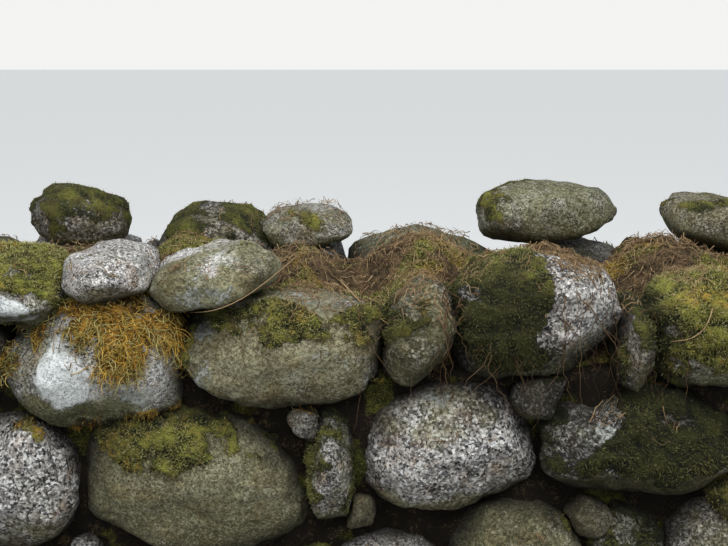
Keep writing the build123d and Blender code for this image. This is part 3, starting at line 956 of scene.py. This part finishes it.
def joint_earth(side):
    """Earth in the joints of one face: from inside the core out to a rough surface that lies a joint's
    depth behind the battered face, and up to 60 mm deeper towards the ends."""
    shape = bpy.context.scene.stone_shape
    columns, rows = FACE_POINTS
    x, z = np.meshgrid(np.linspace(-EARTH_X, EARTH_X, columns), np.linspace(EARTH_LOW, EARTH_HIGH, rows))
    flat = np.stack([x, np.full(x.shape, side * 0.3), z], -1)
    lie = shape.joint_depth + 0.020 * rough(flat, 0.09, 3, 9.0 * side) - 0.006 * cushions(flat, 0.02)
    lie += 0.06 * smooth(HALF_LENGTH - END_DEPTH, EARTH_X, np.abs(x))
    outer = np.stack([x, side * (face_width(z) - lie), z], -1)
    inner = np.stack([x, np.full(x.shape, side * (CORE_HALF - 0.02)), z], -1)
    name = "front_joint_earth" if side < 0 else "back_joint_earth"
    earth_slab(name, outer, inner, side > 0, (0.8, -0.1, 0.6, 0.11, 27.0), joint_soil())


def end_earth(side):
    """Earth in the joints of one end: a slab whose rough surface lies about 55 mm behind the end, and
    deeper at its foot, behind the rounded edges of the end stones and corner stones."""
    columns, rows = END_POINTS
    y, z = np.meshgrid(np.linspace(-END_Y, END_Y, columns), np.linspace(EARTH_LOW, EARTH_HIGH, rows))
    y = y * (face_width(z) / HALF_BASE)
    flat = np.stack([np.full(y.shape, side * 1.1), y, z], -1)
    lie = 0.055 + 0.016 * rough(flat, 0.08, 3, 4.0) - 0.006 * cushions(flat, 0.02)
    lie += 0.035 * smooth(0.06, 0.0, z)
    outer = np.stack([side * (HALF_LENGTH - lie), y, z], -1)
    inner = np.stack([np.full(y.shape, side * (HALF_LENGTH - END_DEPTH)), y, z], -1)
    name = "left_end_earth" if side < 0 else "right_end_earth"
    soil = earth_material("end_soil", 0.40, 0.55)
    earth_slab(name, outer, inner, side < 0, (1.0, -0.2, 0.6, 0.14, 21.0), soil)


def lay_cap():
    """Level of the cap of earth and moss on a grid: the tops of the sods, blurred, less a shoulder that
    falls into the joints behind the top stones and at both ends, plus lumps and cushions."""
    x, y = np.meshgrid(CAP_X, CAP_Y)
    half = np.array([0.98 * CAP_HIGH.x, 0.85 * CAP_HIGH.y])
    above = np.stack([x, y, np.full(x.shape, OVERHEAD)], -1)
    above[..., :2] = np.clip(above[..., :2], -half, half)
    drop = first_hit(above, DOWN, [planes_of(solid) for solid in solids_of("earth_cap")])
    level = blurred(np.where(np.isfinite(drop), OVERHEAD - drop, CAP_LOW.z), 4)
    flat = np.stack([x, y, np.full(x.shape, CAP_HIGH.z)], -1)
    edge = np.abs(y) + 0.012 * rough(flat, 0.07, 3, 5.0)
    level -= 0.11 * smooth(*SIDE_SHOULDER, edge) + 0.12 * smooth(*END_SHOULDER, np.abs(x))
    level += 0.004 + 0.008 * rough(flat, 0.15, 3, 1.0) + 0.006 * rough(flat, 0.03, 2, 2.0)
    cap["level"] = level + 0.006 * cushions(flat, 0.030)


def cap_height(x, y):
    """Level of the cap at x and y, between the four nearest points of its grid in proportion."""
    level = cap["level"]
    across = np.clip((x - CAP_X[0]) / (CAP_X[1] - CAP_X[0]), 0, len(CAP_X) - 1.001)
    along = np.clip((y - CAP_Y[0]) / (CAP_Y[1] - CAP_Y[0]), 0, len(CAP_Y) - 1.001)
    column, row = across.astype(int), along.astype(int)
    u, v = across - column, along - row
    near = level[row, column] * (1 - u) + level[row, column + 1] * u
    far = level[row + 1, column] * (1 - u) + level[row + 1, column + 1] * u
    return near * (1 - v) + far * v


def cap_mat():
    """The cap of earth and moss as a closed slab under the level above, narrower below than above."""
    lay_cap()
    x, y = np.meshgrid(CAP_X, CAP_Y)
    top = np.stack([x, y, cap["level"]], -1)
    top[..., 2] = np.maximum(top[..., 2], CAP_LOW.z - 0.030 + 0.018 * rough(top, 0.06, 3, 6.0))
    bottom = top * (0.93, 0.75, 0)
    bottom[..., 2] = CAP_LOW.z - 0.080
    soil = earth_material("top_soil", 1.0, 0.0)
    points, quads, growth = earth_slab("earth_cap_mat", top, bottom, False, (1.0, -0.35, 0.45, 0.12, 66.0),
                                       soil, (0.4, 0.4), ["earth_cap"])
    values = {"growth": growth, "stone": 0 * growth + 0.5, "joint": 0 * growth}
    return points, quads[:(len(CAP_Y) - 1) * (len(CAP_X) - 1)], NO_TRIANGLES, values


def first_hit(points, way, solids):
    """How far a straight line from each point along a way goes before it enters a solid: for each
    solid the last of the planes that it enters through, where that comes before the first it leaves by."""
    nearest = np.full(points.shape[:-1], np.inf)
    for normals, reach in solids:
        rate = normals @ way
        gap = reach - points @ normals.T
        steep = np.abs(rate) > 1e-6
        along = gap[..., steep] / rate[steep]
        enter = np.where(rate[steep] < 0, along, -np.inf).max(-1)
        leave = np.where(rate[steep] > 0, along, np.inf).min(-1)
        missed = (gap[..., ~steep] < 0).any(-1) | (enter > leave)
        nearest = np.minimum(nearest, np.where(missed, np.inf, enter))
    return nearest


def tubes(paths, radius):
    """Three-sided tubes along many paths (n, m, 3), each thinning to a third of its radius (n) at its
    tip, with closed ends. Their sides turn about a way that no path follows."""
    count, steps = paths.shape[:2]
    ahead = np.gradient(paths, axis=1)
    ahead /= np.linalg.norm(ahead, axis=-1, keepdims=True) + 1e-9
    side = np.cross(ahead, np.array([0.31, 0.17, 0.93]))
    side /= np.linalg.norm(side, axis=-1, keepdims=True) + 1e-9
    other = np.cross(ahead, side)
    thick = (radius[:, None] * np.linspace(1, 0.33, steps)[None, :])[..., None]
    turns = 2 * pi * np.arange(3) / 3
    rings = np.stack([paths + thick * (cos(turn) * side + sin(turn) * other) for turn in turns], 2)
    index = np.arange(count * steps * 3).reshape(count, steps, 3)
    ahead_one = np.roll(index, -1, axis=2)
    quads = np.stack([index[:, :-1], ahead_one[:, :-1], ahead_one[:, 1:], index[:, 1:]], -1).reshape(-1, 4)
    ends = np.concatenate([index[:, 0, ::-1], index[:, -1]])
    return rings.reshape(-1, 3), quads, ends


def strand_values(hue, chance, steps, low=0.15):
    """Colour values of tubes: hue and chance of each, and a tip that grows along it."""
    tip = np.linspace(low, 1.0, steps)
    rows = [np.repeat(hue, steps * 3), np.repeat(chance, steps * 3), np.tile(np.repeat(tip, 3), len(hue))]
    return {"shoot": np.stack(rows, -1)}


def unit(ways):
    """Ways (n, 3), each made one long."""
    return ways / np.linalg.norm(ways, axis=1, keepdims=True)


def hanging_moss(parts):
    """Strands of feather moss. Each starts on a face with orange moss, lifts off along half a sine and
    runs down the boulder, along gravity's part in the face's own plane."""
    count = bpy.context.scene.stone_shape.strands
    steps = 6
    draw = np.random.default_rng(SEEDS["strands"])
    points, quads, _, values = parts
    a, c = points[quads[:, 0]], points[quads[:, 2]]
    cross = np.cross(c - a, points[quads[:, 3]] - points[quads[:, 1]])
    area = np.linalg.norm(cross, axis=1)
    moss, hue, lichen = values["growth"][quads[:, 0]].T
    near = (a[:, 1] < -0.2) & within(a, STRANDED)
    streaks = smooth(-0.35, 0.30, rough(a * (1, 1, 0.5), 0.036, 3, 4.4))
    bare = (1 - smooth(0.55, 0.85, lichen)) * streaks
    shown = 1 - values["joint"][quads[:, 0], 0]
    weight = area * smooth(0.1, 0.6, moss) * smooth(0.50, 0.75, hue) * near * bare * shown
    chosen = draw.choice(len(quads), count, p=weight / weight.sum())
    root = (a + c)[chosen] / 2 + draw.normal(size=(count, 3)) * 0.002
    normal = cross[chosen] / area[chosen, None]
    down = DOWN + draw.normal(size=(count, 3)) * 0.45
    down = unit(down - (down * normal).sum(1, keepdims=True) * normal)
    sway = np.cross(down, normal)
    t = np.linspace(0, 1, steps)[None, :, None]
    length = (0.009 + 0.024 * draw.random((count, 1, 1))**2) * (0.5 + hue[chosen, None, None])
    lift = 0.0035 * (0.6 + draw.random((count, 1, 1)))
    curl = 0.006 * draw.normal(size=(count, 1, 1))
    paths = (root[:, None] + down[:, None] * length * t + normal[:, None] * lift * np.sin(pi * t * 0.9)
             + sway[:, None] * curl * np.sin(2.2 * t * pi))
    mesh = tubes(paths, 0.0007 + 0.0005 * draw.random(count))
    tints = hue[chosen] * 0.5 + 0.5 * draw.random(count)
    rows = strand_values(tints, draw.random(count), steps, 0.3)
    new_piece("hanging_moss", *mesh, rows, moss_material(), "granite")


def litter_on_top():
    """Dry stalks and rootlets strewn on the cap and over the boulders' tops: bent lines on plan, laid at
    the higher of the cap's level, where it reaches, and the boulder's under each point."""
    count = bpy.context.scene.stone_shape.litter
    steps = 5
    draw = np.random.default_rng(SEEDS["litter"])
    x = np.where(draw.random(count) < 0.45, draw.normal(*HEAP, count), draw.uniform(-1.15, 1.15, count))
    y = np.where(draw.random(count) < 0.5, draw.uniform(-0.31, 0.05, count), draw.uniform(-0.29, 0.29, count))
    turn = draw.uniform(0, 2 * pi, (count, 1)) + np.cumsum(draw.normal(0, 0.35, (count, steps)), axis=1)
    length = draw.uniform(0.018, 0.060, (count, 1)) / steps
    x = np.clip(x[:, None] + np.cumsum(np.cos(turn) * length, axis=1), -LITTER_X, LITTER_X)
    y = np.clip(y[:, None] + np.cumsum(np.sin(turn) * length * 0.8, axis=1), -LITTER_Y, LITTER_Y)
    above = np.stack([x, y, np.full(x.shape, OVERHEAD)], -1)
    stone = OVERHEAD - np.minimum(first_hit(above, DOWN, hulls), OVERHEAD)
    level = np.maximum(np.where(np.abs(y) < CAP_Y[-1], cap_height(x, y), 0), stone)
    too_high = level > CAP_HIGH.z + 0.012
    level += 0.003 + 0.004 * draw.random((count, 1)) + 0.004 * draw.normal(size=(count, steps))
    kept = (too_high.sum(1) <= 2) & (np.ptp(level, axis=1) < 0.03)
    paths = np.stack([x, y, level], -1)[kept]
    mesh = tubes(paths, draw.uniform(0.0005, 0.0013, count)[kept])
    rows = strand_values(draw.random(count)[kept], draw.random(count)[kept], steps, 0.4)
    new_piece("dry_litter", *mesh, rows, stalk_material("dry_stalks", "straw"), "earth")


def front_of_stones(x, z):
    """Where the front boulders' surface lies at x and z, infinite where no boulder is."""
    return IN_FRONT + first_hit(np.stack([x, np.full(x.shape, IN_FRONT), z], -1), INWARD, hulls)


def stalks_over_face():
    """Long dead stalks that lie over the front face. Each is a straight line between two places on the
    boulders, bowed outwards along half a sine, just far enough to clear the stones between them."""
    count, steps = len(LONG_STALKS), 12
    t = np.linspace(0, 1, steps)
    arch = np.sin(pi * t)
    paths = []
    for start, end, _ in LONG_STALKS:
        x, z = np.outer(1 - t, start).T + np.outer(t, end).T
        stone = np.clip(front_of_stones(x, z), -face_width(z) - 0.02, -face_width(z) + 0.12)
        line = stone[0] * (1 - t) + stone[-1] * t
        bow = np.max((line - stone)[2:-2] / arch[2:-2])
        paths.append(np.stack([x, line - max(bow, 0) * arch - 0.003, z], -1))
    mesh = tubes(np.array(paths), np.array([thick for *_, thick in LONG_STALKS]))
    rows = strand_values(np.full(count, 0.5), np.linspace(0.6, 1.0, count), steps, 0.4)
    new_piece("long_stalks", *mesh, rows, stalk_material("dry_stalks", "straw"), "earth")


def roots_over_face():
    """Thin roots that leave the cap and hang over the front face. Each wanders sideways as it falls, and
    stays in front of the boulders by keeping the furthest place out that it has passed, less a little."""
    count = bpy.context.scene.stone_shape.roots
    steps = 14
    draw = np.random.default_rng(SEEDS["roots"])
    fringe = draw.random(count) < 0.75
    start = np.where(fringe, draw.normal(*FRINGE, count), draw.uniform(-1.1, 1.1, count))
    fall = draw.uniform(0.05, 0.20, count)
    t = np.linspace(0, 1, steps)[None, :]
    x = start[:, None] + 0.05 * draw.normal(size=(count, 1)) * t
    x = x + np.cumsum(draw.normal(0, 0.0050, (count, steps)), axis=1)
    z = 0.955 + 0.02 * draw.normal(size=(count, 1)) - fall[:, None] * t
    joint = -(face_width(z) - 0.045)
    y = np.minimum.accumulate(np.minimum(front_of_stones(x, z), joint) - 0.004, axis=1)
    y = y + 0.004 * np.arange(1.0, steps + 1)[None, :] * 0.15
    radius = draw.uniform(0.0004, 0.0012, count)
    mesh = tubes(np.stack([x, y, z], -1), radius)
    rows = strand_values(draw.random(count), draw.random(count), steps, 1.0)
    new_piece("hanging_roots", *mesh, rows, stalk_material("root_bark", "humus"), "earth")


def moss_shoots(parts):
    """Shoots of moss on all boulders: slim three-sided spikes, thrown on the faces by chance in
    proportion to their moss and area, fewer out of the close stretch, and leaning out and down."""
    shape = bpy.context.scene.stone_shape
    count = shape.shoots
    draw = np.random.default_rng(SEEDS["shoots"])
    points, quads, _, values = parts
    a, b, c, d = (points[quads[:, k]] for k in range(4))
    area = np.linalg.norm(np.cross(c - a, d - b), axis=1) / 2
    moss = values["growth"][quads[:, 0], 0] * values["growth"][quads[:, 2], 0]
    near = (a[:, 1] < 0) & within(a, CLOSE)
    shown = 1 - values["joint"][quads[:, 0], 0]
    weight = area * moss * np.where(near, 1.0, 0.12) * shown**2
    chosen = draw.choice(len(quads), count, p=weight / weight.sum())
    a, b, c, d = a[chosen], b[chosen], c[chosen], d[chosen]
    u, v = draw.random((2, count, 1))
    root = (a * (1 - u) + b * u) * (1 - v) + (d * (1 - u) + c * u) * v
    normal = unit(np.cross(c - a, d - b))
    hue = values["growth"][quads[chosen, 0], 1]
    sway = draw.normal(size=(count, 3)) * 0.55
    way = unit(normal * 0.75 + sway + 0.30 * DOWN * (0.4 + hue[:, None]))
    length = shape.blade_length * (0.5 + draw.random((count, 1))) * (1 + 0.7 * hue[:, None])
    side = unit(np.cross(way, draw.normal(size=(count, 3))))
    other = np.cross(way, side)
    thick = length * 0.15
    corners = [side, -0.5 * side + 0.87 * other, -0.5 * side - 0.87 * other]
    foot = root - normal * 0.001
    spikes = np.stack([foot + corner * thick for corner in corners] + [root + way * length], 1)
    start = (np.arange(count) * 4)[:, None]
    faces = np.concatenate([start + np.array(k) for k in ((0, 1, 3), (1, 2, 3), (2, 0, 3), (0, 2, 1))])
    chance = draw.random(count)
    light = 0.42 + 0.58 * smooth(0.0, 0.6, values["stone"][quads[chosen, 0], 0])
    # Each shoot is darker at its root: partly its own colour, partly painted shade
    tip = (light[:, None] * [0.25, 0.25, 0.25, 1.0]).ravel()
    rows = np.stack([np.repeat(hue, 4), np.repeat(chance, 4), tip], -1)
    new_piece("moss_shoots", held_in(spikes.reshape(-1, 3)), NO_QUADS, faces, {"shoot": rows},
              moss_material(), "granite")


# Operators


class WALL_OT_front_face(Operator):
    """Dresses the boulders of the front face"""

    bl_idname = "wall.front_face"
    bl_label = "Front face"

    def execute(self, context):
        for place, course in enumerate(COURSES):
            made_parts.append(dress_node(f"front_{course}", FACE_AXES[-1], COURSE_NUMBERS * place))
        return {"FINISHED"}


class WALL_OT_back_face(Operator):
    """Dresses the boulders of the back face"""

    bl_idname = "wall.back_face"
    bl_label = "Back face"

    def execute(self, context):
        for place, course in enumerate(COURSES):
            number = COURSE_NUMBERS * place + BACK_NUMBERS
            made_parts.append(dress_node(f"back_{course}", FACE_AXES[1], number))
        return {"FINISHED"}


class WALL_OT_end_stones(Operator):
    """Dresses the end stones at both ends"""

    bl_idname = "wall.end_stones"
    bl_label = "End stones"

    def execute(self, context):
        for side, name in ((-1, "left"), (1, "right")):
            for number in range(1, END_STONES + 1):
                node = f"{name}_end_stone_{number}"
                made_parts.append(dress_node(node, END_AXES[side], END_NUMBERS[side] + number))
        return {"FINISHED"}


class WALL_OT_earth(Operator):
    """Fills the joints with earth and lays the cap of earth and moss"""

    bl_idname = "wall.earth"
    bl_label = "Earth"

    def execute(self, context):
        for side in (-1, 1):
            joint_earth(side)
            end_earth(side)
        made_parts.append(cap_mat())
        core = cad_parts["core"]
        core.material_slots[0].material = joint_soil()
        return {"FINISHED"}


class WALL_OT_litter(Operator):
    """Strews dry stalks on top and hangs thin roots over the front face"""

    bl_idname = "wall.litter"
    bl_label = "Litter and roots"

    def execute(self, context):
        litter_on_top()
        stalks_over_face()
        roots_over_face()
        return {"FINISHED"}


class WALL_OT_moss(Operator):
    """Grows the shoots and strands of moss on the boulders and the cap"""

    bl_idname = "wall.moss"
    bl_label = "Moss"

    def execute(self, context):
        everything = joined(made_parts)
        moss_shoots(everything)
        hanging_moss(everything)
        return {"FINISHED"}


class WALL_OT_stage(Operator):
    """Sets the floor, the light and the camera"""

    bl_idname = "wall.stage"
    bl_label = "Stage"

    def execute(self, context):
        settings = context.scene.stage_settings
        colours = named_colours()
        floor_under_wall(colours, settings.floor_glow)
        even_light(colours, settings.sky)
        lamp("top_lamp", (0.3, -1.2, 3.2), (0.0, -0.1, 0.7), 2.6, settings.top_lamp)
        lamp("side_lamp", (-2.6, -2.4, 1.8), (0.0, -0.2, 0.7), 1.6, settings.side_lamp)
        photo_camera(settings)
        context.scene.view_settings.view_transform = "Standard"
        return {"FINISHED"}


def floor_under_wall(colours, glow):
    """A plain pale floor at ground level. It shows paler to the camera than it lights the wall."""
    size = 20.0
    corners = [(-size, -size, 0), (size, -size, 0), (size, size, 0), (-size, size, 0)]
    mesh = bpy.data.meshes.new("floor")
    mesh.from_pydata(corners, [], [(0, 1, 2, 3)])
    made, w, shader = new_material("pale_floor", Roughness=0.9, Emission_Color=(1.0, 1.0, 0.99))
    seen = w.add("ShaderNodeLightPath").outputs["Is Camera Ray"]
    w.put(shader["Base Color"], w.mixed(seen, colours.lit_floor, colours.floor))
    w.put(shader["Emission Strength"], w.times(seen, glow))
    mesh.materials.append(made)
    floor = bpy.data.objects.new("floor", mesh)
    bpy.context.scene.collection.objects.link(floor)


def even_light(colours, strength):
    """An even sky that lights at its strength and shows as pale as the floor."""
    world = bpy.data.worlds.new("even_sky")
    world.use_nodes = True
    world.node_tree.nodes.clear()
    w = Wiring(world.node_tree)
    both = w.add("ShaderNodeMixShader")
    w.put(both.inputs[0], w.add("ShaderNodeLightPath").outputs["Is Camera Ray"])
    for place, tint, power in ((1, colours.sky_light, strength), (2, colours.floor, 1.0)):
        background = w.add("ShaderNodeBackground")
        w.put(background.inputs[0], tint)
        w.put(background.inputs[1], power)
        w.put(both.inputs[place], background.outputs[0])
    w.put(w.add("ShaderNodeOutputWorld").inputs[0], both.outputs[0])
    bpy.context.scene.world = world


def lamp(name, place, aim, size, power):
    """A square soft lamp at place that looks at aim."""
    data = bpy.data.lights.new(name, "AREA")
    data.size = size
    data.energy = power
    made = bpy.data.objects.new(name, data)
    made.location = place
    made.rotation_mode = "QUATERNION"
    made.rotation_quaternion = (Vector(aim) - Vector(place)).to_track_quat("-Z", "Y")
    bpy.context.scene.collection.objects.link(made)


def photo_camera(settings):
    """The camera that sees the front face as the photograph does."""
    aim = Vector((0, -face_width(settings.aim_height), settings.aim_height))
    back = Vector((0, -cos(settings.pitch), sin(settings.pitch)))
    data = bpy.data.cameras.new("camera")
    data.lens = settings.lens
    camera = bpy.data.objects.new("camera", data)
    camera.location = aim + back * settings.distance
    camera.rotation_euler = (pi / 2 - settings.pitch, 0, 0)
    bpy.context.scene.collection.objects.link(camera)
    bpy.context.scene.camera = camera


class WALL_PT_panel(Panel):
    """The steps that dress the wall, and their settings"""

    bl_label = "Dry stone wall"
    bl_idname = "WALL_PT_panel"
    bl_space_type = "VIEW_3D"
    bl_region_type = "UI"
    bl_category = "Wall"

    def draw(self, context):
        for step in STEPS:
            self.layout.operator(step.bl_idname)
        for group in (context.scene.stone_shape, context.scene.wall_colours, context.scene.stage_settings):
            box = self.layout.box()
            for name in group.__annotations__:
                box.prop(group, name)


STEPS = (WALL_OT_front_face, WALL_OT_back_face, WALL_OT_end_stones, WALL_OT_earth, WALL_OT_litter,
         WALL_OT_moss, WALL_OT_stage)
CLASSES = (StoneShape, WallColours, StageSettings, *STEPS, WALL_PT_panel)


def register():
    """Makes the settings, steps and panel known."""
    for one in CLASSES:
        bpy.utils.register_class(one)
    bpy.types.Scene.stone_shape = PointerProperty(type=StoneShape)
    bpy.types.Scene.wall_colours = PointerProperty(type=WallColours)
    bpy.types.Scene.stage_settings = PointerProperty(type=StageSettings)


def unregister():
    """Takes the settings, steps and panel away."""
    del bpy.types.Scene.stage_settings
    del bpy.types.Scene.wall_colours
    del bpy.types.Scene.stone_shape
    for one in reversed(CLASSES):
        bpy.utils.unregister_class(one)


def main():
    """Dresses the whole wall."""
    register()
    bpy.ops.wall.front_face()
    bpy.ops.wall.back_face()
    bpy.ops.wall.end_stones()
    bpy.ops.wall.earth()
    bpy.ops.wall.litter()
    bpy.ops.wall.moss()
    bpy.ops.wall.stage()


if __name__ == "__main__":
    main()
